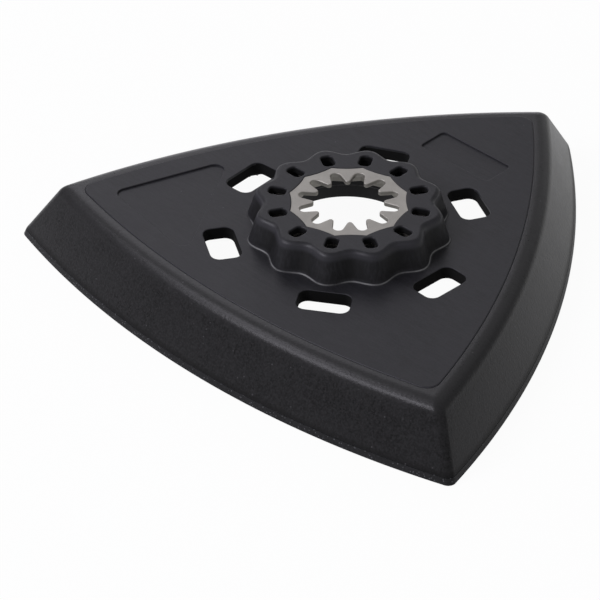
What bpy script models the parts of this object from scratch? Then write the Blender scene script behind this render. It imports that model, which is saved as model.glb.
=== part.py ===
"""Triangular sanding pad with a star drive, for an oscillating multi tool.

Units are metres, +Z is up, and +Y points from the drive axis to one corner of the pad.
Heights in the sizes below are measured up from the working face; the whole pad hangs from an
empty that puts the world's origin on the drive axis, level with the top of the hub.
"""
from math import acos, atan2, cos, hypot, pi, radians, sin, sqrt, tan

import bmesh
import bpy

MM = 0.001

# Triangle of the working face
CORNER_REACH = 53.69 * MM        # drive axis to a sharp corner, 93 mm from corner to corner
SIDE_BULGE = 7.28 * MM           # rise of a bulged side above the straight line between its corners
FACE_CORNER_RADIUS = 1.3 * MM

# Hook facing
FACING_THICKNESS = 1.2 * MM
FACING_LIP = 0.85 * MM           # how far the facing stands out past the foot of the body

# Soft body
SIDE_DRAFT = radians(24.3)       # lean of the sides from upright
SKIRT_WALL = 1.5 * MM            # level width of the hollow skirt
SHOULDER_RADIUS = 2.8 * MM
SHOULDER_CORNER_RADIUS = 2.8 * MM
CAVITY_CORNER_RADIUS = 24.0 * MM
LEDGE_WIDTH = 3.5 * MM           # seat under the edge of the plate
LEDGE_THICKNESS = 1.0 * MM       # at its free edge
LEDGE_ROOT_THICKNESS = 2.0 * MM  # where it meets the skirt

# Hard plate
PLATE_TOP = 10.8 * MM
PLATE_THICKNESS = 2.0 * MM
PLATE_INSET = 7.25 * MM          # edge of the plate, inside the edge of the working face
PLATE_CORNER_RADIUS = 2.2 * MM

# Steel drive ring
SHEET_THICKNESS = 0.75 * MM
STAR_RECESS = 0.05 * MM          # the star lies this far below the top of the hub
STAR_TIP_RADIUS = 5.5 * MM
STAR_ROOT_RADIUS = 8.0 * MM
TOOTH_TIP_RADIUS = 0.45 * MM
STAR_GAP_RADIUS = 0.85 * MM      # round root between two teeth
STAR_RIM = 0.95 * MM             # bare steel between a root and the nearest edge of the hub's opening
OPENING_POINT = 0.55 * MM        # the opening's twelve outward points reach past its arcs
FLANGE_DROP = 1.15 * MM          # the flange is pressed down by this from the star
FLANGE_REACH = 0.7 * MM          # edge of the flange, past the circle of the hub's slots
FLANGE_SEAT = 1.0 * MM           # width of plastic that holds the flange from below
FLANGE_WEB = 0.45 * MM           # wall between the pressed star's pocket and its outer step
NOTCH_WIDTH = 2.4 * MM
NOTCH_MARGIN = 0.22 * MM         # a notch in the flange starts this far inside its slot

# Slots through the lip of the hub
SLOT_BRIDGE = 0.62 * MM          # plastic between a point of the opening and its slot
SLOT_LENGTH = 2.75 * MM          # along the radius
SLOT_WIDTH = 1.95 * MM
SLOT_CORNER_RADIUS = 0.7 * MM

# Hub
HUB_RISE = 4.85 * MM             # above the plate
HUB_RIM = 2.53 * MM              # from the circle of the slots to the mean edge of the crown
HUB_FLARE = 1.38 * MM            # the foot of the lobed wall stands out past the crown by this
LOBE_COUNT = 12
LOBE_DEPTH = 0.7 * MM            # lobes stand out and fall in by this from the mean radius
HUB_EDGE_RADIUS = 0.9 * MM

# Dust slots, in pairs on both sides of each corner's direction
DUST_CIRCLE = 20.2 * MM
DUST_ANGLE = radians(27.3)       # from a corner's direction
DUST_LENGTH = 7.5 * MM           # across the radius
DUST_WIDTH = 4.7 * MM
DUST_CORNER_RADIUS = 1.5 * MM

# Bare recesses in the plate
RECESS_DEPTH = 0.3 * MM
CORNER_RECESS_TIP = 38.3 * MM    # from the axis to the sharp tip
CORNER_RECESS_BASE = 22.7 * MM   # from the axis to the straight side
CORNER_RECESS_HALF_WIDTH = 13.2 * MM
CORNER_RECESS_RADIUS = 1.5 * MM
BAND_RECESS_CENTRE = 27.4 * MM
BAND_RECESS_LENGTH = 14.4 * MM   # across the radius
BAND_RECESS_WIDTH = 5.8 * MM
BAND_RECESS_RADIUS = 0.8 * MM

CLEARANCE = 0.3 * MM             # between pieces that touch or are bonded

# Fineness of curves
SIDE_STEPS = 10
CORNER_STEPS = 8
SHOULDER_STEPS = 5
LOBE_STEPS = 10
EDGE_STEPS = 3
FILLET_STEPS = 4
CIRCLE_STEPS = 96

# Sizes that follow from those above
CORNER_ANGLES = [radians(90 + 120 * k) for k in range(3)]
THIRD = radians(60)
SIDE_RADIUS = ((CORNER_REACH * sin(THIRD)) ** 2 + SIDE_BULGE ** 2) / (2 * SIDE_BULGE)
SIDE_CENTRE = SIDE_RADIUS - CORNER_REACH * cos(THIRD) - SIDE_BULGE
BODY_FOOT = FACING_THICKNESS + CLEARANCE
PLATE_UNDER = PLATE_TOP - PLATE_THICKNESS
LEDGE_TOP = PLATE_UNDER - CLEARANCE
HUB_TOP = PLATE_TOP + HUB_RISE
SECTOR = 2 * pi / LOBE_COUNT
OPENING_ARC_RADIUS = STAR_ROOT_RADIUS + STAR_RIM
OPENING_CUSP_RADIUS = OPENING_ARC_RADIUS + OPENING_POINT
SLOT_START = OPENING_CUSP_RADIUS + SLOT_BRIDGE
SLOT_CIRCLE = SLOT_START + SLOT_LENGTH / 2
NOTCH_START = SLOT_START - NOTCH_MARGIN
HUB_CROWN_RADIUS = SLOT_CIRCLE + HUB_RIM
HUB_FOOT_RADIUS = HUB_CROWN_RADIUS + HUB_FLARE
FLANGE_RADIUS = SLOT_CIRCLE + FLANGE_REACH
BORE_RADIUS = FLANGE_RADIUS - FLANGE_SEAT
STAR_TOP = HUB_TOP - STAR_RECESS
STAR_UNDER = STAR_TOP - SHEET_THICKNESS
FLANGE_TOP = STAR_TOP - FLANGE_DROP
FLANGE_UNDER = FLANGE_TOP - SHEET_THICKNESS
POCKET_TOP = FLANGE_TOP + CLEARANCE
POCKET_UNDER = FLANGE_UNDER - CLEARANCE
POCKET_RADIUS = FLANGE_RADIUS + CLEARANCE
CAVITY_INSET = FACING_LIP + SKIRT_WALL
OVERCUT = 1.0 * MM               # how far a cutter runs past the face that it opens


def polar(radius, angle):
    return (radius * cos(angle), radius * sin(angle))


def pad_outline(inset, corner_radius):
    """Bulged triangle, drawn counter-clockwise, inset from the edge of the working face."""
    side_radius = SIDE_RADIUS - inset
    reach = side_radius - corner_radius
    fillet_centre = (sqrt(4 * reach ** 2 - 3 * SIDE_CENTRE ** 2) - SIDE_CENTRE) / 2
    # The line from a side's centre through a fillet's centre meets the tangent point. Its angle
    # from the side's middle is the same for every corner.
    along = SIDE_CENTRE + fillet_centre * cos(THIRD)
    half_side = atan2(fillet_centre * sin(THIRD), along)
    points = []
    for corner in CORNER_ANGLES:
        fx, fy = polar(fillet_centre, corner)
        first = corner - THIRD + half_side
        last = corner + THIRD - half_side
        for step in range(CORNER_STEPS + 1):
            dx, dy = polar(corner_radius, first + (last - first) * step / CORNER_STEPS)
            points.append((fx + dx, fy + dy))
        middle = corner + THIRD
        cx, cy = polar(-SIDE_CENTRE, middle)
        for step in range(1, SIDE_STEPS):
            dx, dy = polar(side_radius, middle - half_side + 2 * half_side * step / SIDE_STEPS)
            points.append((cx + dx, cy + dy))
    return points


def cavity_outline(inset):
    """Outline of the hollow: its corner radius shrinks as it moves inwards."""
    return pad_outline(inset, CAVITY_CORNER_RADIUS + CAVITY_INSET - inset)


def circle_outline(radius):
    return [polar(radius, 2 * pi * k / CIRCLE_STEPS) for k in range(CIRCLE_STEPS)]


def lobed_outline(mean_radius):
    """Closed wave of LOBE_COUNT lobes, one of them on the +X axis."""
    steps = LOBE_COUNT * LOBE_STEPS
    angles = [2 * pi * k / steps for k in range(steps)]
    return [polar(mean_radius + LOBE_DEPTH * cos(LOBE_COUNT * a), a) for a in angles]


def rounded_polygon(corners, radius):
    """Convex polygon, counter-clockwise, with every corner rounded to the same radius."""
    points = []
    for k, (x, y) in enumerate(corners):
        ax, ay = corners[k - 1]
        bx, by = corners[(k + 1) % len(corners)]
        into = atan2(y - ay, x - ax)
        out = atan2(by - y, bx - x)
        turn = (out - into) % (2 * pi)
        setback = radius * tan(turn / 2)
        cx = x - setback * cos(into) - radius * sin(into)
        cy = y - setback * sin(into) + radius * cos(into)
        for step in range(FILLET_STEPS + 1):
            dx, dy = polar(radius, into - pi / 2 + turn * step / FILLET_STEPS)
            points.append((cx + dx, cy + dy))
    return points


def rounded_box(length, width, radius):
    x = length / 2
    y = width / 2
    return rounded_polygon([(x, y), (-x, y), (-x, -y), (x, -y)], radius)


def placed(points, radius, angle):
    """Moves an outline out along the radius at an angle, its own +X pointing outwards."""
    c = cos(angle)
    s = sin(angle)
    return [((x + radius) * c - y * s, (x + radius) * s + y * c) for x, y in points]


def star_sector():
    """Edge of the star opening from the middle of a gap to the middle of the next tooth's tip.

    A gap ends outwards in a round root on the sector's start, and a tooth ends inwards in a
    round tip on its middle; one straight flank touches both circles.
    """
    half = SECTOR / 2
    root = (STAR_ROOT_RADIUS - STAR_GAP_RADIUS, 0.0)
    tip = polar(STAR_TIP_RADIUS + TOOTH_TIP_RADIUS, half)
    dx = tip[0] - root[0]
    dy = tip[1] - root[1]
    distance = hypot(dx, dy)
    # Inner tangent of the two circles: its normal leans from the line of centres by this angle.
    lean = acos((STAR_GAP_RADIUS + TOOTH_TIP_RADIUS) / distance)
    normal = atan2(dy, dx) + lean
    if cos(normal) < cos(atan2(dy, dx) - lean):
        normal = atan2(dy, dx) - lean
    points = []
    for step in range(EDGE_STEPS + 2):
        ox, oy = polar(STAR_GAP_RADIUS, normal * step / (EDGE_STEPS + 1))
        points.append((root[0] + ox, root[1] + oy))
    start = normal + pi
    end = half + pi
    for step in range(EDGE_STEPS + 1):
        ox, oy = polar(TOOTH_TIP_RADIUS, start + (end - start) * step / EDGE_STEPS)
        points.append((tip[0] + ox, tip[1] + oy))
    return points


def star_outline():
    """Whole star opening as (radius, angle) pairs, counter-clockwise, a gap on the +X axis."""
    sector = [(hypot(x, y), atan2(y, x)) for x, y in star_sector()]
    mirrored = [(radius, SECTOR - angle) for radius, angle in reversed(sector[1:-1])]
    whole = sector + mirrored
    return [(radius, angle + k * SECTOR) for k in range(LOBE_COUNT) for radius, angle in whole]


def opening_radius(angle, shrink=0.0):
    """Radius of the hub's opening: arcs that bulge inwards between outward points."""
    half = SECTOR / 2
    off = abs((angle % SECTOR) - half)
    half_chord = OPENING_CUSP_RADIUS * sin(half)
    bulge = OPENING_CUSP_RADIUS * cos(half) - OPENING_ARC_RADIUS
    arc_radius = (half_chord ** 2 + bulge ** 2) / (2 * bulge)
    centre = OPENING_ARC_RADIUS + arc_radius
    inside = (arc_radius + shrink) ** 2 - (centre * sin(off)) ** 2
    return centre * cos(off) - sqrt(inside)


def loft(name, loops, closed):
    """Skins loops of (x, y, z) points; closed joins the last to the first, else both are capped."""
    mesh = bpy.data.meshes.new(name)
    bm = bmesh.new()
    rings = [[bm.verts.new(point) for point in loop] for loop in loops]
    pairs = list(zip(rings, rings[1:]))
    if closed:
        pairs.append((rings[-1], rings[0]))
    else:
        bm.faces.new(list(reversed(rings[0])))
        bm.faces.new(rings[-1])
    for low, high in pairs:
        for k in range(len(low)):
            n = (k + 1) % len(low)
            bm.faces.new((low[k], low[n], high[n], high[k]))
    bmesh.ops.recalc_face_normals(bm, faces=bm.faces)
    bm.to_mesh(mesh)
    bm.free()
    return mesh


def raised(outline, height):
    return [(x, y, height) for x, y in outline]


def prism(name, outline, low, high):
    return loft(name, [raised(outline, low), raised(outline, high)], closed=False)


def add_object(name, mesh, root):
    obj = bpy.data.objects.new(name, mesh)
    bpy.context.scene.collection.objects.link(obj)
    obj.parent = root
    return obj


def add_cutter(name, mesh, root):
    cutter = add_object(name, mesh, root)
    cutter.hide_render = True
    cutter.display_type = 'WIRE'
    return cutter


def combine(obj, cutter, operation):
    modifier = obj.modifiers.new(cutter.name, 'BOOLEAN')
    modifier.operation = operation
    modifier.solver = 'EXACT'
    modifier.object = cutter


def finish(obj, colour, roughness, metallic, crease):
    """Gives a piece its own material and smooth shading that breaks at sharp edges."""
    material = bpy.data.materials.new(obj.name)
    material.use_nodes = True
    shader = material.node_tree.nodes['Principled BSDF']
    shader.inputs['Base Color'].default_value = (*colour, 1.0)
    shader.inputs['Roughness'].default_value = roughness
    shader.inputs['Metallic'].default_value = metallic
    obj.data.materials.append(material)
    obj.data.shade_smooth()
    obj.data.set_sharp_from_angle(angle=radians(crease))


def build_drive_ring(root):
    """Pressed star ring: teeth and rim on one level, a notched flange half a step lower."""
    star = star_outline()
    angles = [angle for _, angle in star]
    opening = [polar(radius, angle) for radius, angle in star]
    step = [polar(opening_radius(a, CLEARANCE), a) for a in angles]
    pocket = [polar(opening_radius(a, CLEARANCE + FLANGE_WEB), a) for a in angles]
    flange = [polar(FLANGE_RADIUS, a) for a in angles]
    loops = [raised(opening, STAR_TOP), raised(step, STAR_TOP), raised(step, FLANGE_TOP),
             raised(flange, FLANGE_TOP), raised(flange, FLANGE_UNDER), raised(pocket, FLANGE_UNDER),
             raised(pocket, STAR_UNDER), raised(opening, STAR_UNDER)]
    ring = add_object('drive_ring', loft('drive_ring', loops, closed=True), root)
    notch_length = FLANGE_RADIUS + OVERCUT - NOTCH_START
    notch = rounded_box(notch_length, NOTCH_WIDTH, SLOT_CORNER_RADIUS)
    middle = NOTCH_START + notch_length / 2
    for k in range(LOBE_COUNT):
        mesh = prism('flange_notch', placed(notch, middle, k * SECTOR),
                     FLANGE_UNDER - OVERCUT, FLANGE_TOP + CLEARANCE)
        combine(ring, add_cutter(f'flange_notch_{k + 1}', mesh, root), 'DIFFERENCE')
    finish(ring, (0.40, 0.38, 0.36), 0.42, 1.0, 30)


def build_hub(root):
    """Lobed boss, drafted from foot to crown, with a rounded top edge."""
    draft = atan2(HUB_FOOT_RADIUS - HUB_CROWN_RADIUS, HUB_RISE)
    loops = [raised(lobed_outline(HUB_FOOT_RADIUS), PLATE_TOP - PLATE_THICKNESS / 2),
             raised(lobed_outline(HUB_FOOT_RADIUS), PLATE_TOP)]
    for k in range(EDGE_STEPS + 1):
        lean = draft + (pi / 2 - draft) * k / EDGE_STEPS
        pull = HUB_EDGE_RADIUS * (cos(draft) - cos(lean))
        height = HUB_TOP - HUB_EDGE_RADIUS * (1 - sin(lean))
        loops.append(raised(lobed_outline(HUB_CROWN_RADIUS - pull), height))
    return add_cutter('hub_boss', loft('hub_boss', loops, closed=False), root)


def build_carrier_plate(root):
    """Hard moulding: plate and hub in one, open at the star, with slots and bare recesses."""
    outline = pad_outline(PLATE_INSET + CLEARANCE / 2, PLATE_CORNER_RADIUS)
    plate = add_object('carrier_plate', prism('carrier_plate', outline, PLATE_UNDER, PLATE_TOP), root)
    combine(plate, build_hub(root), 'UNION')

    pocket = prism('flange_pocket', circle_outline(POCKET_RADIUS), POCKET_UNDER, POCKET_TOP)
    steps = LOBE_COUNT * LOBE_STEPS
    angles = [2 * pi * k / steps for k in range(steps)]
    middle = (POCKET_UNDER + POCKET_TOP) / 2
    mouth = prism('hub_mouth', [polar(opening_radius(a), a) for a in angles], middle, HUB_TOP + OVERCUT)
    bore = prism('hub_bore', circle_outline(BORE_RADIUS), PLATE_UNDER - OVERCUT, middle)
    for name, mesh in (('hub_bore', bore), ('flange_pocket', pocket), ('hub_mouth', mouth)):
        combine(plate, add_cutter(name, mesh, root), 'DIFFERENCE')

    slot = rounded_box(SLOT_LENGTH, SLOT_WIDTH, SLOT_CORNER_RADIUS)
    for k in range(LOBE_COUNT):
        mesh = prism('hub_slot', placed(slot, SLOT_CIRCLE, k * SECTOR), POCKET_UNDER, HUB_TOP + OVERCUT)
        combine(plate, add_cutter(f'hub_slot_{k + 1}', mesh, root), 'DIFFERENCE')

    dust = rounded_box(DUST_WIDTH, DUST_LENGTH, DUST_CORNER_RADIUS)
    for k, corner in enumerate(CORNER_ANGLES):
        for side in (-1, 1):
            mesh = prism('dust_slot', placed(dust, DUST_CIRCLE, corner + side * DUST_ANGLE),
                         PLATE_UNDER - OVERCUT, PLATE_TOP + OVERCUT)
            name = f'dust_slot_{2 * k + (side + 3) // 2}'
            combine(plate, add_cutter(name, mesh, root), 'DIFFERENCE')

    floor = PLATE_TOP - RECESS_DEPTH
    triangle = rounded_polygon([(CORNER_RECESS_TIP, 0), (CORNER_RECESS_BASE, CORNER_RECESS_HALF_WIDTH),
                                (CORNER_RECESS_BASE, -CORNER_RECESS_HALF_WIDTH)], CORNER_RECESS_RADIUS)
    band = rounded_box(BAND_RECESS_WIDTH, BAND_RECESS_LENGTH, BAND_RECESS_RADIUS)
    recesses = (('corner_recess', placed(triangle, 0, CORNER_ANGLES[1])),
                ('band_recess', placed(band, BAND_RECESS_CENTRE, CORNER_ANGLES[0])))
    for name, points in recesses:
        mesh = prism(name, points, floor, PLATE_TOP + OVERCUT)
        combine(plate, add_cutter(name, mesh, root), 'DIFFERENCE')
    finish(plate, (0.045, 0.045, 0.05), 0.5, 0.0, 30)


def side_inset(height):
    """Inset of the sloping side at a height above the working face."""
    return FACING_LIP + (height - BODY_FOOT) * tan(SIDE_DRAFT)


def build_pad_body(root):
    """Soft shell: drafted skirt, round shoulder, rim flush with the plate and a ledge under it."""
    turn = pi / 2 - SIDE_DRAFT
    setback = SHOULDER_RADIUS * tan(turn / 2)
    edge = side_inset(PLATE_TOP)
    low = PLATE_TOP - setback * cos(SIDE_DRAFT)
    loops = [raised(pad_outline(side_inset(BODY_FOOT), FACE_CORNER_RADIUS), BODY_FOOT)]
    for k in range(SHOULDER_STEPS + 1):
        lean = SIDE_DRAFT + turn * k / SHOULDER_STEPS
        pull = SHOULDER_RADIUS * (cos(SIDE_DRAFT) - cos(lean))
        height = low + SHOULDER_RADIUS * (sin(lean) - sin(SIDE_DRAFT))
        inset = edge - setback * sin(SIDE_DRAFT) + pull
        loops.append(raised(pad_outline(inset, SHOULDER_CORNER_RADIUS - pull), height))
    rim = pad_outline(PLATE_INSET - CLEARANCE / 2, PLATE_CORNER_RADIUS + CLEARANCE)
    ledge = cavity_outline(PLATE_INSET + LEDGE_WIDTH)
    root_height = LEDGE_TOP - LEDGE_ROOT_THICKNESS
    wall_inset = side_inset(root_height) + SKIRT_WALL
    loops += [raised(rim, PLATE_TOP), raised(rim, LEDGE_TOP), raised(ledge, LEDGE_TOP),
              raised(ledge, LEDGE_TOP - LEDGE_THICKNESS), raised(cavity_outline(wall_inset), root_height),
              raised(cavity_outline(CAVITY_INSET), BODY_FOOT)]
    body = add_object('pad_body', loft('pad_body', loops, closed=True), root)
    finish(body, (0.03, 0.03, 0.032), 0.75, 0.0, 30)


def build_hook_facing(root):
    """Thin sheet under the body, a little wider than its foot and open over the hollow."""
    outer = pad_outline(0.0, FACE_CORNER_RADIUS)
    inner = cavity_outline(CAVITY_INSET)
    loops = [raised(outer, 0.0), raised(outer, FACING_THICKNESS),
             raised(inner, FACING_THICKNESS), raised(inner, 0.0)]
    facing = add_object('hook_facing', loft('hook_facing', loops, closed=True), root)
    finish(facing, (0.035, 0.035, 0.037), 0.9, 0.0, 30)


def main():
    for obj in list(bpy.data.objects):
        bpy.data.objects.remove(obj)
    root = bpy.data.objects.new('drive_axis', None)
    root.location = (0.0, 0.0, -HUB_TOP)
    bpy.context.scene.collection.objects.link(root)
    build_hook_facing(root)
    build_pad_body(root)
    build_carrier_plate(root)
    build_drive_ring(root)


main()
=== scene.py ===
"""Triangular sanding pad with a star drive: its dressed pieces, their finishes and its stage.

Lengths are metres. Heights are measured up from the working face; the finished meshes hang
from the world's origin, which is on the drive axis, level with the top of the hub.
"""
from math import acos, atan2, cos, hypot, pi, radians, sin, sqrt, tan

import bmesh
import bpy
import numpy as np
from bpy.props import FloatProperty, FloatVectorProperty, IntProperty, PointerProperty
from mathutils import Matrix, Vector
from mathutils.geometry import delaunay_2d_cdt


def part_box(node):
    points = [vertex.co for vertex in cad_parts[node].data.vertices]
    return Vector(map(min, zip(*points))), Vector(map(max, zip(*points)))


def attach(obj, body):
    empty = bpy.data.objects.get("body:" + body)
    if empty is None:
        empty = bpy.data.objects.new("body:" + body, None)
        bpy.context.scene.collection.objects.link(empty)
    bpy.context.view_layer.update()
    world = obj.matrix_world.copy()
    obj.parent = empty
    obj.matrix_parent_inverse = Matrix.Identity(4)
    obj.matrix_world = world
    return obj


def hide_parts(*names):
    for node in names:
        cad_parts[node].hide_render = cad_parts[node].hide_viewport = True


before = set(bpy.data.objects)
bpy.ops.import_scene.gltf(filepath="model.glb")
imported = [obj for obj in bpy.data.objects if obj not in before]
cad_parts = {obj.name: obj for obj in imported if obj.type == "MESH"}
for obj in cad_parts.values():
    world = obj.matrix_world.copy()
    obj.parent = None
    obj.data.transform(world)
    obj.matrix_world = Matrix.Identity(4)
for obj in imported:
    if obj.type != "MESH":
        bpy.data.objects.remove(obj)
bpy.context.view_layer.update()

bl_info = {
    "name": "Triangular sanding pad",
    "version": (1, 0, 0),
    "blender": (4, 5, 0),
    "location": "View3D > Sidebar > Sanding Pad",
    "description": "Builds the dressed pieces of a triangular sanding pad and its stage",
    "category": "Add Mesh",
}

MM = 0.001
HUB_TOP = -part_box("hook_facing")[0][2]  # height of the world's origin above the working face
CORNER_ANGLES = [radians(90 + 120 * k) for k in range(3)]
THIRD = radians(60)
FIT = 0.012 * MM               # hairline between pieces that are pressed together
SUPPORT = 0.05 * MM            # flat strip beside every rounded edge
MERGE = 0.0005 * MM            # points closer than this are one
SHARP = 38                     # degrees from which an edge is shaded sharp
RING_SHARP = 30                # and the same on the star ring

# Small roundings
LIP_ROUND = 0.15 * MM          # hub's opening round the star
BORE_ROUND = 0.2 * MM          # lower end of the bore
DUST_LOWER_ROUND = 0.1 * MM    # lower edge of a dust slot
RECESS_ROUND = 0.08 * MM       # upper edge of a bare recess
RECESS_FLOOR = 0.1 * MM        # hollow round a recess's floor
RIM_ROUND = 0.06 * MM          # body's rim beside the plate
POCKET_CLEAR = 0.15 * MM       # from the end of a slot to the wall of the ring's pocket
LEDGE_BEVEL = 0.2 * MM         # upper edge of the seat under the plate
LEDGE_LOWER_BEVEL = 0.3 * MM   # and its lower edge
FOOT_ROUND = 0.1 * MM          # body's foot on the hook sheet
DRAFT_START = 0.3 * MM         # sloping sides start their lean this far up
SHEET_NIP = 0.15 * MM          # bevels of the hook sheet
SHEET_LEAN = 0.25 * MM         # lean of the hook sheet's outer edge
BED_MARGIN = 0.3 * MM          # hooks stay this far inside the sheet's solid band
BED_INNER_MARGIN = 0.35 * MM   # and this far from its opening
HOOK_DENSITY = 2.2e6           # most hooks to the square metre
HOOK_SEED = 7

# Fineness of curves
SIDE_STEPS = 44
CORNER_STEPS = 12
LOBE_STEPS = 24
FILLET_STEPS = 7
SHOULDER_STEPS = 12


# ---- sizes and colours

def length(description, millimetres):
    return FloatProperty(description=description, default=millimetres * MM, min=0.0,
                         subtype='DISTANCE', unit='LENGTH', precision=5)


def angle(description, degrees):
    return FloatProperty(description=description, default=radians(degrees), subtype='ANGLE',
                         unit='ROTATION')


def colour(description, value):
    return FloatVectorProperty(description=description, default=value, size=3, min=0.0, max=1.0,
                               subtype='COLOR')


class PadSizes(bpy.types.PropertyGroup):
    """Sizes of the soft body and its hook sheet."""
    corner_reach: length("Drive axis to a sharp corner of the working face", 53.69)
    side_bulge: length("Rise of a side above the straight line between corners", 7.28)
    face_corner: length("Radius of a corner of the working face", 1.3)
    sheet_thickness: length("Hook sheet with its hooks", 1.2)
    sheet_lip: length("How far the sheet stands out past the foot of the body", 0.45)
    draft: angle("Lean of the sides from upright", 26.3)
    shoulder: length("Radius of the shoulder in section", 2.8)
    shoulder_corner: length("Radius of the shoulder's corners from above", 1.5)
    rim_drop: length("Rim of the body below the top of the plate", 0.12)
    skirt_wall: length("Level width of the hollow skirt", 1.9)
    cavity_corner: length("Radius of the hollow's corners", 24.0)
    ledge_width: length("Seat under the edge of the plate", 3.5)
    ledge_thickness: length("Seat at its free edge", 1.0)
    ledge_root: length("Seat where it meets the skirt", 2.0)
    edge_band: length("Solid band along the sheet's outer edge", 0.55)
    band_lift: length("Solid band above the working face", 0.05)
    hook_height: length("Height of the sheet's hooks", 0.5)
    hook_spacing: length("Closest distance between two hooks", 1.15)
    hook_wire: length("Radius of a hook's wire", 0.09)


class PlateSizes(bpy.types.PropertyGroup):
    """Sizes of the hard plate and its hub."""
    plate_top: length("Top of the plate above the working face", 10.8)
    plate_thickness: length("Thickness of the plate", 2.2)
    plate_inset: length("Edge of the plate inside the working face", 7.25)
    plate_corner: length("Radius of the plate's corners", 2.2)
    edge_round: length("Rounding of the plate's edge", 0.14)
    crown_radius: length("Mean radius of the hub's top", 14.03)
    foot_radius: length("Mean radius of the hub's foot", 15.55)
    lobe_depth: length("How far lobes stand out and fall in", 0.7)
    crown_round: length("Rounding of the hub's top edge", 0.9)
    foot_fillet: length("Fillet round the hub's foot", 0.35)
    slot_circle: length("Radius of the circle of slots", 11.495)
    slot_length: length("Slot along the radius", 2.75)
    slot_width: length("Slot across the radius", 1.95)
    slot_corner: length("Radius of a slot's corners", 0.7)
    slot_round: length("Rounding of a slot's upper edge", 0.22)
    dust_circle: length("Radius of the circle of dust slots", 20.2)
    dust_angle: angle("Dust slot from the direction of its corner", 27.3)
    dust_length: length("Dust slot across the radius", 8.3)
    dust_width: length("Dust slot along the radius", 5.0)
    dust_corner: length("Radius of a dust slot's corners", 1.5)
    dust_round: length("Rounding of a dust slot's upper edge", 0.1)
    recess_depth: length("Depth of the two bare recesses", 0.3)


class StarSizes(bpy.types.PropertyGroup):
    """Sizes of the pressed steel star ring."""
    count: IntProperty(description="Teeth of the star, and lobes and slots of the hub", default=12,
                       min=3)
    sheet: length("Thickness of the sheet steel", 0.75)
    sunk: length("Top of the star below the top of the hub", 0.05)
    tip: length("Drive axis to the tip of a tooth", 5.5)
    root: length("Drive axis to the bottom of a gap", 8.0)
    tip_round: length("Radius of a tooth's tip", 0.45)
    gap_round: length("Radius of a gap's bottom", 0.85)
    opening_arc: length("Hub's opening halfway between its points", 8.95)
    opening_point: length("Hub's opening at its points", 9.5)
    flange: length("Edge of the ring's flange", 12.195)
    flange_drop: length("Flange below the star", 1.15)
    web: length("Hub's opening to the pocket under the star", 0.75)
    notch_start: length("Inner end of a notch in the flange", 9.65)
    notch_width: length("Width of a notch", 2.4)
    bore: length("Bore under the ring", 11.195)
    seat: length("Inner edge of the seat that closes the slots from below", 9.2)
    seat_thickness: length("Thickness of that seat", 0.6)
    punched: length("Rounding of the star's edges", 0.13)


class PadColours(bpy.types.PropertyGroup):
    """Base colours of the finishes."""
    plate: colour("Hard moulded plastic", (0.0128, 0.0126, 0.0150))
    body: colour("Soft moulded body", (0.0088, 0.0086, 0.0092))
    steel: colour("Blasted sheet steel", (0.455, 0.438, 0.405))
    hooks: colour("Nylon hook sheet", (0.0095, 0.0095, 0.0105))
    floor: colour("Plain pale floor", (0.82, 0.82, 0.82))


# ---- outlines

def polar(radius, turn):
    return (radius * cos(turn), radius * sin(turn))


def arc(centre, radius, start, end, steps):
    """Points along an arc, both of its ends included."""
    turns = [start + (end - start) * step / steps for step in range(steps + 1)]
    return [(centre[0] + radius * cos(a), centre[1] + radius * sin(a)) for a in turns]


def pad_outline(sizes, inset, corner_radius):
    """Bulged triangle, counter-clockwise, inset from the edge of the working face."""
    half_chord = sizes.corner_reach * sin(THIRD)
    full_radius = (half_chord ** 2 + sizes.side_bulge ** 2) / (2 * sizes.side_bulge)
    centre = full_radius - sizes.corner_reach * cos(THIRD) - sizes.side_bulge
    side_radius = full_radius - inset
    reach = side_radius - corner_radius
    fillet_centre = (sqrt(4 * reach ** 2 - 3 * centre ** 2) - centre) / 2
    along = centre + fillet_centre * cos(THIRD)
    half_side = atan2(fillet_centre * sin(THIRD), along)
    points = []
    for corner in CORNER_ANGLES:
        half_corner = THIRD - half_side
        points += arc(polar(fillet_centre, corner), corner_radius, corner - half_corner,
                      corner + half_corner, CORNER_STEPS)
        middle = corner + THIRD
        points += arc(polar(-centre, middle), side_radius, middle - half_side,
                      middle + half_side, SIDE_STEPS)[1:-1]
    return points


def cavity(sizes, depth):
    """Outline of the pad's hollow, moved outwards into the skirt by a depth."""
    inset = sizes.sheet_lip + sizes.skirt_wall - depth
    return pad_outline(sizes, inset, sizes.cavity_corner + depth)


def rounded_polygon(corners, radius):
    """Convex polygon, counter-clockwise, with every corner rounded to the same radius."""
    points = []
    for k, (x, y) in enumerate(corners):
        ax, ay = corners[k - 1]
        bx, by = corners[(k + 1) % len(corners)]
        into = atan2(y - ay, x - ax)
        out = atan2(by - y, bx - x)
        turn = (out - into) % (2 * pi)
        setback = radius * tan(turn / 2)
        centre = (x - setback * cos(into) - radius * sin(into),
                  y - setback * sin(into) + radius * cos(into))
        points += arc(centre, radius, into - pi / 2, into - pi / 2 + turn, FILLET_STEPS)
    return points


def rounded_box(size_x, size_y, radius):
    x = size_x / 2
    y = size_y / 2
    return rounded_polygon([(x, y), (-x, y), (-x, -y), (x, -y)], radius)


def placed(points, radius, turn):
    """Moves an outline out along the radius at an angle, its own +X pointing outwards."""
    c = cos(turn)
    s = sin(turn)
    return [((x + radius) * c - y * s, (x + radius) * s + y * c) for x, y in points]


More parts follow.
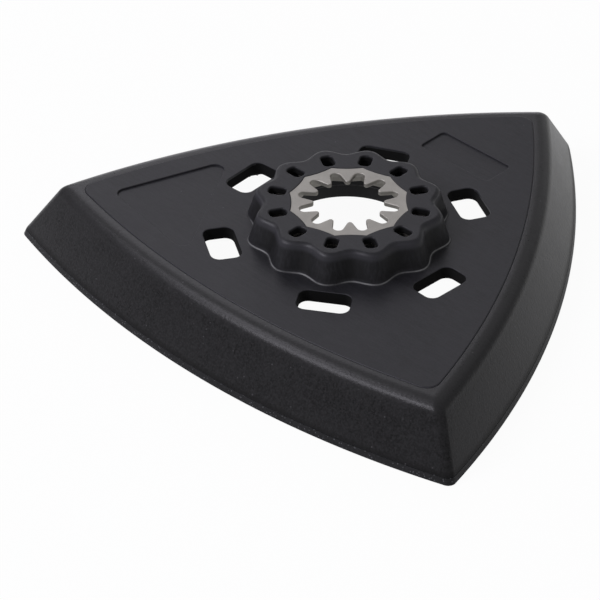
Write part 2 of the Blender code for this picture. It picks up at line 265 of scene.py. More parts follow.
def grown(points, distance):
    """Moves a closed counter-clockwise outline outwards by a distance."""
    result = []
    for k, (x, y) in enumerate(points):
        ax, ay = points[k - 1]
        bx, by = points[(k + 1) % len(points)]
        n1 = Vector((y - ay, ax - x)).normalized()
        n2 = Vector((by - y, x - bx)).normalized()
        normal = (n1 + n2).normalized()
        stretch = distance / max(0.5, normal.dot(n1))
        result.append((x + normal.x * stretch, y + normal.y * stretch))
    return result


def sector_angles(count):
    """Angles across one sector of the star, from the middle of one tooth to the next."""
    sector = 2 * pi / count
    return [sector * (step / LOBE_STEPS - 0.5) for step in range(LOBE_STEPS + 1)]


def lobed(sizes, star, mean_radius):
    """One sector of the hub's wavy outline, its lobe in the middle."""
    return [polar(mean_radius + sizes.lobe_depth * cos(star.count * a), a)
            for a in sector_angles(star.count)]


def opening(star, grow, angles):
    """Hub's opening at some angles: arcs that bulge inwards between outward points."""
    sector = 2 * pi / star.count
    half = sector / 2
    half_chord = star.opening_point * sin(half)
    bulge = star.opening_point * cos(half) - star.opening_arc
    arc_radius = (half_chord ** 2 + bulge ** 2) / (2 * bulge)
    centre = star.opening_arc + arc_radius
    points = []
    for turn in angles:
        off = abs(turn % sector - half)
        reach = sqrt((arc_radius - grow) ** 2 - (centre * sin(off)) ** 2)
        points.append(polar(centre * cos(off) - reach, turn))
    return points


def star_flank(star):
    """Edge of the star from the middle of a gap to the middle of the next tooth's tip."""
    half = pi / star.count
    root = (star.root - star.gap_round, 0.0)
    tip = polar(star.tip + star.tip_round, half)
    dx = tip[0] - root[0]
    dy = tip[1] - root[1]
    lean = acos((star.gap_round + star.tip_round) / hypot(dx, dy))
    normal = atan2(dy, dx) + lean
    if cos(normal) < cos(atan2(dy, dx) - lean):
        normal = atan2(dy, dx) - lean
    return arc(root, star.gap_round, 0.0, normal, FILLET_STEPS) + \
        arc(tip, star.tip_round, normal + pi, half + pi, FILLET_STEPS)


def full_turn(chain, count):
    """Closed outline from one sector's chain, whose last point is the next sector's first."""
    whole = []
    for k in range(count):
        whole += placed(chain[:-1], 0.0, 2 * pi * k / count)
    return whole


def star_edge(star, distance):
    """One sector of the star opening, tooth to tooth, cut back by a distance."""
    flank = star_flank(star)
    chain = [(x, -y) for x, y in reversed(flank[1:])] + flank
    points = grown(full_turn(chain, star.count), distance)
    return points[:len(chain) - 1] + placed(points[:1], 0.0, 2 * pi / star.count)


def notched(star):
    """One sector of the flange's edge, with a notch in the middle."""
    corner = 0.5 * MM
    half = star.notch_width / 2
    outer = sqrt(star.flange ** 2 - half ** 2)
    inner = star.notch_start
    points = [polar(star.flange, -pi / star.count), (outer, -half - corner * 0.6),
              (outer - corner * 0.4, -half), (inner + corner, -half),
              (inner + corner * 0.3, -half + corner * 0.3), (inner, -half + corner)]
    return points + [(x, -y) for x, y in reversed(points)]


# ---- surfaces

class Skin:
    """Points and faces of a surface, whose lines are open or closed lists of point numbers."""

    def __init__(self):
        self.points = []
        self.faces = []

    def line(self, outline, height):
        start = len(self.points)
        self.points += [(x, y, height) for x, y in outline]
        return list(range(start, len(self.points)))

    def lines(self, outline_at, pairs):
        """One line for each pair of a distance, which gives the outline, and a height."""
        return [self.line(outline_at(distance), height) for distance, height in pairs]

    def edge(self, outline_at, level, radius, steps=5, way=-1):
        """Lines from the flat beside an edge round its rounding, downwards or, with way 1, up."""
        pairs = [(radius + SUPPORT, 0.0), *arc((radius, radius), radius, -pi / 2, -pi, steps)]
        return self.lines(outline_at, [(back, level + way * drop) for back, drop in pairs])

    def skin(self, lines, closed):
        """Faces between each line and the next one."""
        for one, other in zip(lines, lines[1:]):
            for k in range(len(one) if closed else len(one) - 1):
                n = (k + 1) % len(one)
                self.faces.append((one[k], one[n], other[n], other[k]))

    def fill(self, outer, holes=()):
        """Flat faces between a loop and the loops inside it."""
        loops = [outer, *holes]
        numbers = [n for loop in loops for n in loop]
        flat = [Vector(self.points[n][:2]) / MM for n in numbers]
        edges = []
        start = 0
        for loop in loops:
            edges += [(start + k, start + (k + 1) % len(loop)) for k in range(len(loop))]
            start += len(loop)
        result = delaunay_2d_cdt(flat, edges, [], 1, 1e-7)
        source = [numbers[found[0]] for found in result[3]]
        triangles = [tuple(face) for face in result[2]]
        middles = np.array([[sum(result[0][v][axis] for v in face) / 3 for axis in (0, 1)]
                            for face in triangles])
        inside = np.zeros(len(triangles), dtype=int)
        for ax, ay, bx, by in [(*flat[a], *flat[b]) for a, b in edges]:
            straddles = (ay > middles[:, 1]) != (by > middles[:, 1])
            if ay != by:
                reach = ax + (middles[:, 1] - ay) * (bx - ax) / (by - ay)
                inside += straddles & (middles[:, 0] < reach)
        self.faces += [tuple(source[v] for v in face)
                       for face, crossings in zip(triangles, inside) if crossings % 2]

    def mesh(self, name):
        mesh = bpy.data.meshes.new(name)
        mesh.from_pydata([(x, y, z - HUB_TOP) for x, y, z in self.points], [], self.faces)
        return mesh


def close_up(mesh, sharp_degrees=SHARP):
    """Merges doubles, turns the faces outwards and shades smooth up to sharp edges."""
    bm = bmesh.new()
    bm.from_mesh(mesh)
    bmesh.ops.remove_doubles(bm, verts=bm.verts, dist=MERGE)
    bmesh.ops.recalc_face_normals(bm, faces=bm.faces)
    if bm.calc_volume(signed=True) < 0:
        bmesh.ops.reverse_faces(bm, faces=bm.faces)
    open_edges = [edge for edge in bm.edges if len(edge.link_faces) != 2]
    if open_edges:
        raise RuntimeError(f"{mesh.name} has {len(open_edges)} open edges")
    bm.to_mesh(mesh)
    bm.free()
    mesh.shade_smooth()
    mesh.set_sharp_from_angle(angle=radians(sharp_degrees))


def add_piece(name, mesh):
    piece = bpy.data.objects.new(name, mesh)
    bpy.context.scene.collection.objects.link(piece)
    return piece


def settle(piece, node):
    """Hangs a finished piece from the root and hides the part of the model that it stands for."""
    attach(piece, "root")
    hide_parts(node)


# ---- node trees

def sum_method(operation, swapped=False):
    """Operator that adds a Math node, with its two values swapped for the reflected form."""
    def method(self, other):
        values = (other, self) if swapped else (self, other)
        return self.tree.node('ShaderNodeMath', {'operation': operation}, *values)
    return method


class Socket:
    """A node's output that takes part in sums, each of which adds its Math node."""

    def __init__(self, tree, output):
        self.tree = tree
        self.output = output

    __add__ = __radd__ = sum_method('ADD')
    __sub__ = sum_method('SUBTRACT')
    __rsub__ = sum_method('SUBTRACT', swapped=True)
    __mul__ = __rmul__ = sum_method('MULTIPLY')
    __pow__ = sum_method('POWER')
    __gt__ = sum_method('GREATER_THAN')


class Tree:
    """A node tree and the one method that adds any node to it."""

    def __init__(self, nodes_of):
        self.nodes_of = nodes_of

    def node(self, kind, settings, *values, out=0, **named):
        """Adds a node with its settings and its inputs by number or name, and gives one output."""
        node = self.nodes_of.nodes.new(kind)
        for name, value in settings.items():
            setattr(node, name, value)
        for number, value in enumerate(values):
            self.feed(node.inputs[number], value)
        for name, value in named.items():
            self.feed(node.inputs[name.replace('_', ' ')], value)
        return Socket(self, node.outputs[out])

    def feed(self, target, value):
        if isinstance(value, Socket):
            self.nodes_of.links.new(value.output, target)
        elif value is not None:
            target.default_value = value


class Finish(Tree):
    """A material whose patterns lie in the object's own coordinates."""

    def __init__(self, name):
        self.material = bpy.data.materials.new(name)
        self.material.use_nodes = True
        super().__init__(self.material.node_tree)
        self.shader = self.nodes_of.nodes['Principled BSDF']
        self.place = self.node('ShaderNodeTexCoord', {}, out=3)
        x, y, z = [self.node('ShaderNodeSeparateXYZ', {}, self.place, out=axis)
                   for axis in range(3)]
        self.depth = y
        self.height = z + HUB_TOP
        self.radius = (x * x + y * y) ** 0.5
        self.turn = self.node('ShaderNodeMath', {'operation': 'ARCTAN2'}, y, x)

    def noise(self, size, detail=3.0, rough=0.55, place=None):
        """Noise whose features are about one size across, from 0 to 1."""
        return self.node('ShaderNodeTexNoise', {}, Vector=place or self.place, Scale=1 / size,
                         Detail=detail, Roughness=rough)

    def cells(self, size):
        """Distance to the middle of the nearest cell of a size."""
        return self.node('ShaderNodeTexVoronoi', {}, Vector=self.place, Scale=1 / size)

    def ramp(self, value, low, high):
        """0 below one level and 1 above another, straight between them."""
        return self.node('ShaderNodeMapRange', {}, value, low, high, 0.0, 1.0)

    def above(self, level, start, end):
        """0 below a height and 1 above another, both in millimetres from a level."""
        return self.ramp(self.height, level + start * MM, level + end * MM)

    def streaks(self, turn_degrees, scale, detail=3.0, rough=0.55):
        """Noise drawn out along a direction, its features so many to the metre along each axis."""
        place = self.node('ShaderNodeMapping', {}, Vector=self.place,
                          Rotation=(0.0, 0.0, radians(turn_degrees)), Scale=scale)
        return self.noise(1.0, detail, rough, place)

    def blend(self, factor, one, other):
        """Mixes two colours, each of them a socket or a plain shade."""
        one, other = [(*c, 1.0) if isinstance(c, tuple) else c for c in (one, other)]
        return self.node('ShaderNodeMix', {'data_type': 'RGBA'}, factor, *[None] * 5, one, other,
                         out=2)

    def layers(self, base, cloud, span, masks):
        """Base colour clouded between two shades of it, then a lighter or darker one per mask."""
        shade = self.blend(self.ramp(cloud, 0.3, 0.7), lighter(base, span[0]),
                           lighter(base, span[1]))
        for mask, times in masks:
            shade = self.blend(mask, shade, lighter(base, times))
        return shade

    def bump(self, height, distance, strength):
        return self.node('ShaderNodeBump', {}, Strength=strength, Distance=distance,
                         Height=height)

    def done(self, **sockets):
        for name, value in sockets.items():
            self.feed(self.shader.inputs[name.replace('_', ' ')], value)
        return self.material


def lighter(shade, times):
    return tuple(min(1.0, channel * times) for channel in shade)


def plate_finish(colours, sizes, star):
    """Satin moulded plastic: texture, flow marks, rubs, specks, painted highlights and painted
    shade.
    """
    f = Finish("satin_moulded_plastic")
    base = colours.plate
    top = sizes.plate_top
    cloud = f.noise(9 * MM, 4.0)
    grain = f.noise(0.3 * MM, 2.0)
    patches = f.noise(1.3 * MM, 3.0, 0.7)
    flow = f.streaks(28, (90, 420, 200))
    drawn = f.streaks(43, (350, 3600, 350), 3.0, 0.6)
    brushed = f.streaks(0, (2400, 2400, 160), 2.0, 0.6)
    rub = f.streaks(-35, (160, 5200, 160), 2.0)
    rubbed = f.ramp(rub, 0.66, 0.74) * f.ramp(f.noise(14 * MM), 0.5, 0.62)
    specks = 1 - f.ramp(f.cells(2.3 * MM), 0.02, 0.05)
    few = f.ramp(f.noise(6 * MM), 0.58, 0.64)
    # Painted shade on the walls of the hub's slots and of the dust slots, which hardly any light
    # reaches: the walls start just under the plate's top, but lower down where the bare recesses
    # are
    slot_end = sizes.slot_circle + sizes.slot_length / 2 + POCKET_CLEAR
    slots = (f.height > HUB_TOP - star.sunk - star.flange_drop) * \
        (1 - f.above(HUB_TOP, -0.45, -0.25)) * (1 - (f.radius > slot_end))
    outer = f.radius > star.flange
    recessed = (f.radius > sizes.dust_circle + sizes.dust_width / 2) * sizes.recess_depth
    dust = (1 - f.ramp(f.height + recessed, top - 0.15 * MM, top - 0.07 * MM)) * outer * \
        (f.height > top - sizes.plate_thickness + 0.04 * MM)
    slot_shade = 1 - (1 - slots) * (1 - dust)
    # Painted highlights on the top edges, as a pale line at the hub's foot and on its crown;
    # painted shade on its wall
    # Painted highlight: a pale band just under the plate's top, along its edges
    edge_highlight = f.above(top, -0.15, -0.10) * (1 - f.above(top, -0.04, -0.01)) * outer
    line = f.above(top, 0.04, 0.10) * (1 - f.above(top, 0.20, 0.30))
    outside = f.ramp(f.radius, sizes.crown_radius - 1.0 * MM, sizes.crown_radius - 0.6 * MM)
    wall = f.above(top, 0.4, 0.8) * (1 - f.above(HUB_TOP, -1.5, -0.8)) * outside
    crown = f.above(HUB_TOP, -1.3, -0.8) * (1 - f.above(HUB_TOP, -0.35, -0.05)) * outside
    gap = 0.5 - 0.5 * f.node('ShaderNodeMath', {'operation': 'COSINE'}, f.turn * star.count)
    shade = f.layers(base, cloud, (0.75, 1.3), (
        (f.ramp(patches, 0.45, 0.7) * 0.4, 1.7), (f.ramp(drawn, 0.35, 0.65) * 0.6, 1.8),
        (f.ramp(grain, 0.45, 0.75) * 0.5, 2.2), (rubbed * 0.45, 3.6), (specks * few * 0.7, 10.0),
        # Painted shade on the hub's wall, darkest between the lobes; the lighter brushed streaks on
        # the lobes are partly texture, partly painted light
        (wall * (0.45 + 0.4 * gap), 0.2),
        (wall * f.ramp(brushed, 0.45, 0.65) * (0.5 - 0.4 * gap), 2.0),
        # Painted highlights on the hub's rounded crown and along the plate's top edges
        (crown * 0.7, 3.0), (edge_highlight * 0.5, 5.0)))
    # Painted highlight: a pale line on the fillet at the hub's foot
    shade = f.blend(line * f.ramp(f.noise(4 * MM), 0.3, 0.6), shade, (0.19, 0.19, 0.195))
    # Painted shade: the slot walls take a tenth of the base colour and turn rough
    shade = f.blend(slot_shade, shade, lighter(base, 0.1))
    rough = (0.36 + 0.10 * cloud + 0.05 * grain - 0.05 * flow + 0.1 * wall) * (1 - slot_shade) + \
        slot_shade * 0.95
    height = grain * 0.5 + flow * 0.35 + drawn * 0.4 + patches * 0.5 + rubbed * -0.3
    return f.done(Base_Color=shade, Roughness=rough, IOR=1.46, Specular_IOR_Level=0.36,
                  Normal=f.bump(height, 0.02 * MM, 0.55))


def body_finish(colours, sizes):
    """Soft matte moulding: close grain, light dust specks, a painted highlight on the shoulder, a
    glossy rim and painted shade on the foot.
    """
    f = Finish("soft_matte_moulding")
    top = sizes.plate_top
    cloud = f.noise(6 * MM, 4.0)
    grain = f.noise(0.32 * MM, 2.0, 0.6)
    pores = f.cells(0.45 * MM)
    patches = f.noise(1.0 * MM, 3.0, 0.7)
    drawn = f.streaks(0, (2600, 2600, 300), 2.0, 0.6)
    dust = 1 - f.ramp(f.cells(1.3 * MM), 0.06, 0.12)
    dusty = f.ramp(f.noise(3 * MM, 3.0), 0.50, 0.62)
    # Painted shade: the foot darkened towards the floor, and made rougher
    foot = 1 - f.above(0.0, 1.5, 2.1)
    # Painted highlight: the shoulder lightened; shoulder and rim also get a little coat
    shoulder = f.above(top, -2.4, -1.0)
    rim = f.above(top, -0.75, -0.3)
    shade = f.layers(colours.body, cloud, (0.65, 1.4), (
        (f.ramp(drawn, 0.38, 0.62) * 0.6, 2.2), (f.ramp(grain, 0.42, 0.68) * 0.8, 3.0),
        (f.ramp(patches, 0.5, 0.72) * 0.5, 2.6), (shoulder * 0.6, 2.8), (foot * 0.7, 0.3),
        (dust * dusty * 0.6, 12.0)))
    rough = 0.18 + 0.08 * cloud + 0.06 * grain + 0.10 * patches + 0.12 * foot
    height = grain * 0.7 + pores * 0.3 + drawn * 0.5 + patches * 0.8
    return f.done(Base_Color=shade, Roughness=rough, IOR=1.45, Specular_IOR_Level=0.24,
                  Coat_Weight=shoulder * 0.05 + rim * 0.35, Coat_Roughness=0.4, Coat_IOR=1.45,
                  Normal=f.bump(height, 0.05 * MM, 0.6))


def steel_finish(colours):
    """Blasted sheet steel: even pitting, slight clouding."""
    f = Finish("blasted_sheet_steel")
    cloud = f.noise(3.5 * MM, 3.0)
    pits = f.noise(0.14 * MM, 2.0, 0.6)
    shade = f.layers(colours.steel, cloud, (0.9, 1.08),
                     [(f.ramp(pits, 0.6, 0.8) * 0.4, 0.72)])
    return f.done(Base_Color=shade, Roughness=0.44 + 0.12 * pits + 0.06 * cloud, Metallic=1.0,
                  Normal=f.bump(pits, 0.03 * MM, 0.5))


def hook_finish(colours):
    """Nylon hook sheet: woven backing lines and pale fibre ends."""
    f = Finish("nylon_hook_sheet")
    cloud = f.noise(5 * MM, 3.0)
    weave = f.noise(0.3 * MM, 2.0, 0.6)
    ends = 1 - f.ramp(f.cells(0.5 * MM), 0.14, 0.24)
    shade = f.layers(colours.hooks, cloud, (0.75, 1.4),
                     [(f.ramp(weave, 0.4, 0.7) * 0.6, 2.6), (ends * 0.7, 14.0)])
    return f.done(Base_Color=shade, Roughness=0.34 + 0.15 * weave, IOR=1.45,
                  Specular_IOR_Level=0.3, Normal=f.bump(weave + ends, 0.06 * MM, 0.7))


# ---- geometry nodes

class Maker(Tree):
    """A Geometry Nodes tree with named inputs, run once and turned into a plain mesh."""

    def __init__(self, name, **inputs):
        group = bpy.data.node_groups.new(name, 'GeometryNodeTree')
        super().__init__(group)
        for way in ('INPUT', 'OUTPUT'):
            group.interface.new_socket('Geometry', in_out=way, socket_type='NodeSocketGeometry')
        self.keys = {}
        for label, kind in inputs.items():
            item = group.interface.new_socket(label, in_out='INPUT',
                                              socket_type=f'NodeSocket{kind}')
            self.keys[label] = item.identifier
        self.start = group.nodes.new('NodeGroupInput')
        self.end = group.nodes.new('NodeGroupOutput')

    def given(self, label):
        return Socket(self, self.start.outputs[label])

    def object_geometry(self, label):
        return self.node('GeometryNodeObjectInfo', {}, Object=self.given(label), out=4)

    def joined(self, geometry):
        """Joins a geometry to the piece's own."""
        joined = self.node('GeometryNodeJoinGeometry', {}, Geometry=geometry)
        self.feed(joined.output.node.inputs[0], self.given('Geometry'))
        return joined

    def finish(self, geometry):
        real = self.node('GeometryNodeRealizeInstances', {}, Geometry=geometry)
        painted = self.node('GeometryNodeSetMaterial', {}, Geometry=real,
                            Material=self.given('Finish'))
        self.feed(self.end.inputs['Geometry'], painted)
        return self

    def run(self, piece, **values):
        """Runs the tree on a piece and puts the plain result in its place."""
        modifier = piece.modifiers.new(self.nodes_of.name, 'NODES')
        modifier.node_group = self.nodes_of
        for label, value in values.items():
            modifier[self.keys[label]] = value
        piece.update_tag()
        graph = bpy.context.evaluated_depsgraph_get()
        result = bpy.data.meshes.new_from_object(piece.evaluated_get(graph))
        piece.modifiers.remove(modifier)
        before = piece.data
        name = before.name
        piece.data = result
        bpy.data.meshes.remove(before)
        result.name = name


def ring_maker():
    """Turns one sector into a full ring round the drive axis and joins it to the piece."""
    t = Maker("sector_ring", Sector='Object', Count='Int', Merge='Float', Finish='Material')
    count = t.given('Count')
    places = t.node('GeometryNodeMeshLine', {}, Count=count, Offset=(0.0, 0.0, 0.0))
    turn = t.node('GeometryNodeInputIndex', {}) * (2 * pi) * (count ** -1.0)
    spin = t.node('ShaderNodeCombineXYZ', {}, Z=turn)
    copies = t.node('GeometryNodeInstanceOnPoints', {}, Points=places, Rotation=spin,
                    Instance=t.object_geometry('Sector'))
    joined = t.joined(t.node('GeometryNodeRealizeInstances', {}, Geometry=copies))
    return t.finish(t.node('GeometryNodeMergeByDistance', {}, Geometry=joined,
                           Distance=t.given('Merge')))


def hook_maker():
    """Sets bent wire hooks over a flat bed, facing down, and joins them to it."""
    t = Maker("hook_field", Spacing='Float', Height='Float', Wire='Float', Bed='Object',
              Seed='Int', Finish='Material')
    height = t.given('Height')
    wire = t.given('Wire')
    spots = t.node('GeometryNodeDistributePointsOnFaces', {'distribute_method': 'POISSON'},
                   Mesh=t.object_geometry('Bed'), Distance_Min=t.given('Spacing'),
                   Density_Max=HOOK_DENSITY, Seed=t.given('Seed'))
    drop = wire - height
    root = t.node('ShaderNodeCombineXYZ', {}, Z=wire)
    bend = t.node('ShaderNodeCombineXYZ', {}, X=height * 0.1, Z=drop * 1.75)
    hook_end = t.node('ShaderNodeCombineXYZ', {}, X=height * 0.85, Z=drop * 0.55)
    line = t.node('GeometryNodeCurveQuadraticBezier', {}, Resolution=5, Start=root, Middle=bend,
                  End=hook_end)
    section = t.node('GeometryNodeCurvePrimitiveCircle', {}, Resolution=5, Radius=wire)
    hook = t.node('GeometryNodeCurveToMesh', {}, Curve=line, Profile_Curve=section,
                  Fill_Caps=True)
    turn = t.node('FunctionNodeRandomValue', {'data_type': 'FLOAT'}, None, None, 0.0, 2 * pi,
                  out=1)
    spin = t.node('ShaderNodeCombineXYZ', {}, Z=turn)
    copies = t.node('GeometryNodeInstanceOnPoints', {}, Points=spots, Instance=hook,
                    Rotation=spin)
    return t.finish(t.joined(copies))


# ---- pieces

class SANDPAD_OT_star_ring(bpy.types.Operator):
    """Build the pressed steel star ring from one twelfth of it"""
    bl_idname = "sandpad.star_ring"
    bl_label = "Star Ring"

    def execute(self, context):
        star = context.scene.star_sizes
        top = HUB_TOP - star.sunk
        under = top - star.sheet
        flange_top = top - star.flange_drop
        flange_under = flange_top - star.sheet

        def cut(back):
            return star_edge(star, back)

        turns = [atan2(y, x) for x, y in cut(star.punched + SUPPORT)]
        s = Skin()
        wall = s.edge(cut, top, star.punched) + s.edge(cut, under, star.punched, way=1)[::-1]
        s.skin(wall, False)
        step = [s.line(opening(star, -FIT, turns), height) for height in (top, flange_top)]
        s.skin([wall[0], *step], False)
        rim = [s.line(notched(star), height) for height in (flange_top, flange_under)]
        s.skin(rim, False)
        s.fill(step[1] + rim[0][::-1])
        pocket = [s.line(opening(star, -star.web, turns), height)
                  for height in (flange_under, under)]
        s.fill(pocket[0] + rim[1][::-1])
        s.skin([*pocket, wall[-1]], False)
        piece = add_piece("star_ring", bpy.data.meshes.new("star_ring"))
        make_ring(piece, s.mesh("star_sector"), star, steel_finish(context.scene.pad_colours))
        close_up(piece.data, RING_SHARP)
        settle(piece, "drive_ring")
        return {'FINISHED'}


def make_ring(piece, mesh, star, finish):
    """Joins a full ring of a sector's mesh to the piece."""
    sector = add_piece(mesh.name, mesh)
    ring_maker().run(piece, Sector=sector, Count=star.count, Merge=MERGE, Finish=finish)
    bpy.data.objects.remove(sector)


def hub_sector(sizes, star):
    """One twelfth of the hub: bore, pocket of the ring, lip with its slot, wall and foot fillet."""
    angles = sector_angles(star.count)
    flange_top = HUB_TOP - star.sunk - star.flange_drop + FIT
    flange_under = flange_top - star.sheet - 2 * FIT
    plate_under = sizes.plate_top - sizes.plate_thickness
    seat_under = flange_under - star.seat_thickness
    pocket_radius = sizes.slot_circle + sizes.slot_length / 2 + POCKET_CLEAR

    def circle(radius):
        return [polar(radius, a) for a in angles]

    def slot_at(back):
        box = rounded_box(sizes.slot_length + 2 * back, sizes.slot_width + 2 * back,
                          sizes.slot_corner + back)
        return placed(box, sizes.slot_circle, 0.0)

    def lip_at(back):
        return opening(star, back, angles)

    s = Skin()
    lines = s.edge(lambda back: circle(star.bore + back), plate_under, BORE_ROUND, 3, way=1)
    lines += s.lines(circle, ((star.bore, seat_under), (star.seat, seat_under),
                              (star.seat, flange_under), (pocket_radius, flange_under),
                              (pocket_radius, flange_top)))
    s.skin(lines, False)
    lip = s.edge(lip_at, HUB_TOP, LIP_ROUND, 4) + [s.line(lip_at(0.0), flange_top)]
    s.skin(lip, False)
    slot = s.edge(slot_at, HUB_TOP, sizes.slot_round) + [s.line(slot_at(0.0), flange_top)]
    s.skin(slot, True)
    draft = atan2(sizes.foot_radius - sizes.crown_radius, HUB_TOP - sizes.plate_top)
    bend = tan((pi / 2 - draft) / 2)
    crown_centre = sizes.crown_radius - sizes.crown_round * bend
    foot_centre = sizes.foot_radius + sizes.foot_fillet * bend
    foot = lobed(sizes, star, foot_centre + SUPPORT)
    profile = [(crown_centre - SUPPORT, HUB_TOP)]
    profile += arc((crown_centre, HUB_TOP - sizes.crown_round), sizes.crown_round, pi / 2, draft,
                   FILLET_STEPS)
    profile += arc((foot_centre, sizes.plate_top + sizes.foot_fillet), sizes.foot_fillet,
                   pi + draft, 1.5 * pi, FILLET_STEPS)
    crown = s.lines(lambda radius: lobed(sizes, star, radius), profile)
    crown.append(s.line(foot, sizes.plate_top))
    s.skin(crown, False)
    s.fill(lip[0] + crown[0][::-1], [slot[0]])
    s.fill(lip[-1] + lines[-1][::-1], [slot[-1]])
    return s.mesh("hub_sector"), foot, circle(star.bore + BORE_ROUND + SUPPORT)


def recess_outlines():
    """The bare corner recess and the bare band, both sunk into the plate."""
    outer, inner, half = 38.3 * MM, 22.7 * MM, 13.2 * MM
    corner = rounded_polygon([(outer, 0.0), (inner, half), (inner, -half)], 1.5 * MM)
    band = rounded_box(5.8 * MM, 14.4 * MM, 0.8 * MM)
    return [placed(corner, 0.0, CORNER_ANGLES[1]), placed(band, 27.4 * MM, CORNER_ANGLES[0])]


class SANDPAD_OT_hub_plate(bpy.types.Operator):
    """Build the hard plate with its lobed hub, slots and bare recesses"""
    bl_idname = "sandpad.hub_plate"
    bl_label = "Hub and Plate"

    def execute(self, context):
        sizes = context.scene.plate_sizes
        star = context.scene.star_sizes
        pad = context.scene.pad_sizes
        top = sizes.plate_top
        under = top - sizes.plate_thickness
        sector, foot, bore = hub_sector(sizes, star)
        s = Skin()
        top_holes = [s.line(full_turn(foot, star.count), top)]
        under_holes = [s.line(full_turn(bore, star.count), under)]

        def rim_at(back):
            return pad_outline(pad, sizes.plate_inset + FIT + back, sizes.plate_corner)

        rim = s.edge(rim_at, top, sizes.edge_round, 4)
        rim += s.edge(rim_at, under, sizes.edge_round, 4, way=1)[::-1]
        s.skin(rim, True)
        for turn in (corner + side * sizes.dust_angle for corner in CORNER_ANGLES
                     for side in (-1, 1)):
            def dust_at(back):
                box = rounded_box(sizes.dust_width + 2 * back, sizes.dust_length + 2 * back,
                                  sizes.dust_corner + back)
                return placed(box, sizes.dust_circle, turn)

            lines = s.edge(dust_at, top, sizes.dust_round, 6)
            lines += s.edge(dust_at, under, DUST_LOWER_ROUND, 3, way=1)[::-1]
            s.skin(lines, True)
            top_holes.append(lines[0])
            under_holes.append(lines[-1])
        floor = top - sizes.recess_depth
        for outline in recess_outlines():
            lines = s.edge(lambda back: grown(outline, back), top, RECESS_ROUND, 3)
            hollow = [(-back * RECESS_FLOOR, floor + rise * RECESS_FLOOR)
                      for back, rise in ((0.0, 1.0), (0.3, 0.3), (1.0, 0.0))]
            hollow.append((-RECESS_FLOOR - SUPPORT, floor))
            lines += s.lines(lambda back: grown(outline, back), hollow)
            s.skin(lines, True)
            top_holes.append(lines[0])
            s.fill(lines[-1])
        s.fill(rim[0], top_holes)
        s.fill(rim[-1], under_holes)
        piece = add_piece("hub_and_plate", s.mesh("hub_and_plate"))
        make_ring(piece, sector, star, plate_finish(context.scene.pad_colours, sizes, star))
        close_up(piece.data)
        settle(piece, "carrier_plate")
        return {'FINISHED'}


class SANDPAD_OT_soft_body(bpy.types.Operator):
    """Build the soft shell with its drafted sides, round shoulder, rim and seat for the plate"""
    bl_idname = "sandpad.soft_body"
    bl_label = "Soft Body"

    def execute(self, context):
        pad = context.scene.pad_sizes
        plate = context.scene.plate_sizes
        foot = pad.sheet_thickness + FIT
        turn = pi / 2 - pad.draft
        setback = pad.shoulder * tan(turn / 2)
        skirt = pad.sheet_lip + pad.skirt_wall

        def side(height):
            return pad.sheet_lip + (height - DRAFT_START - pad.sheet_thickness) * tan(pad.draft)

        s = Skin()
        lines = []
        for back, rise in ((1.0, 0.0), (0.4, 0.15), (0.1, 0.4), (0.0, 1.0)):
            height = foot + rise * FOOT_ROUND
            outline = pad_outline(pad, side(height) + back * FOOT_ROUND, pad.face_corner)
            lines.append(s.line(outline, height))
        rim_top = plate.plate_top - pad.rim_drop
        edge = side(rim_top)
        low = rim_top - setback * cos(pad.draft)
        for step in range(SHOULDER_STEPS + 1):
            lean = pad.draft + turn * step / SHOULDER_STEPS
            pull = pad.shoulder * (cos(pad.draft) - cos(lean))
            height = low + pad.shoulder * (sin(lean) - sin(pad.draft))
            corner = pad.shoulder_corner * (1 - 0.75 * pull / (pad.shoulder * cos(pad.draft)))
            inset = edge - setback * sin(pad.draft) + pull
            lines.append(s.line(pad_outline(pad, inset, corner), height))
        rim = plate.plate_inset - FIT
        seat = plate.plate_top - plate.plate_thickness - FIT
        rim_corner = plate.plate_corner + 2 * FIT
        lines += s.edge(lambda back: pad_outline(pad, rim - back, rim_corner + back), rim_top,
                        RIM_ROUND, 3)
        lines.append(s.line(pad_outline(pad, rim, rim_corner), seat))
        ledge = plate.plate_inset + pad.ledge_width
        ledge_under = seat - pad.ledge_thickness
        free = ledge - LEDGE_LOWER_BEVEL
        root = seat - pad.ledge_root
        wall = side(root) + pad.skirt_wall
        inside = [(ledge - LEDGE_BEVEL, seat), (ledge, seat - LEDGE_BEVEL),
                  (ledge, ledge_under + LEDGE_LOWER_BEVEL), (free, ledge_under)]
        inside += [(free + (wall - free) * share, ledge_under + (root - ledge_under) * sink)
                   for share, sink in ((0.25, 0.15), (0.55, 0.4), (0.85, 0.8), (1.0, 1.0))]
        inside += [(skirt + 0.05 * MM, foot + 0.2 * MM), (skirt - 0.1 * MM, foot)]
        lines += s.lines(lambda inset: cavity(pad, skirt - inset), inside)
        s.skin(lines + lines[:1], True)
        piece = add_piece("soft_body", s.mesh("soft_body"))
        piece.data.materials.append(body_finish(context.scene.pad_colours, plate))
        close_up(piece.data)
        settle(piece, "pad_body")
        return {'FINISHED'}


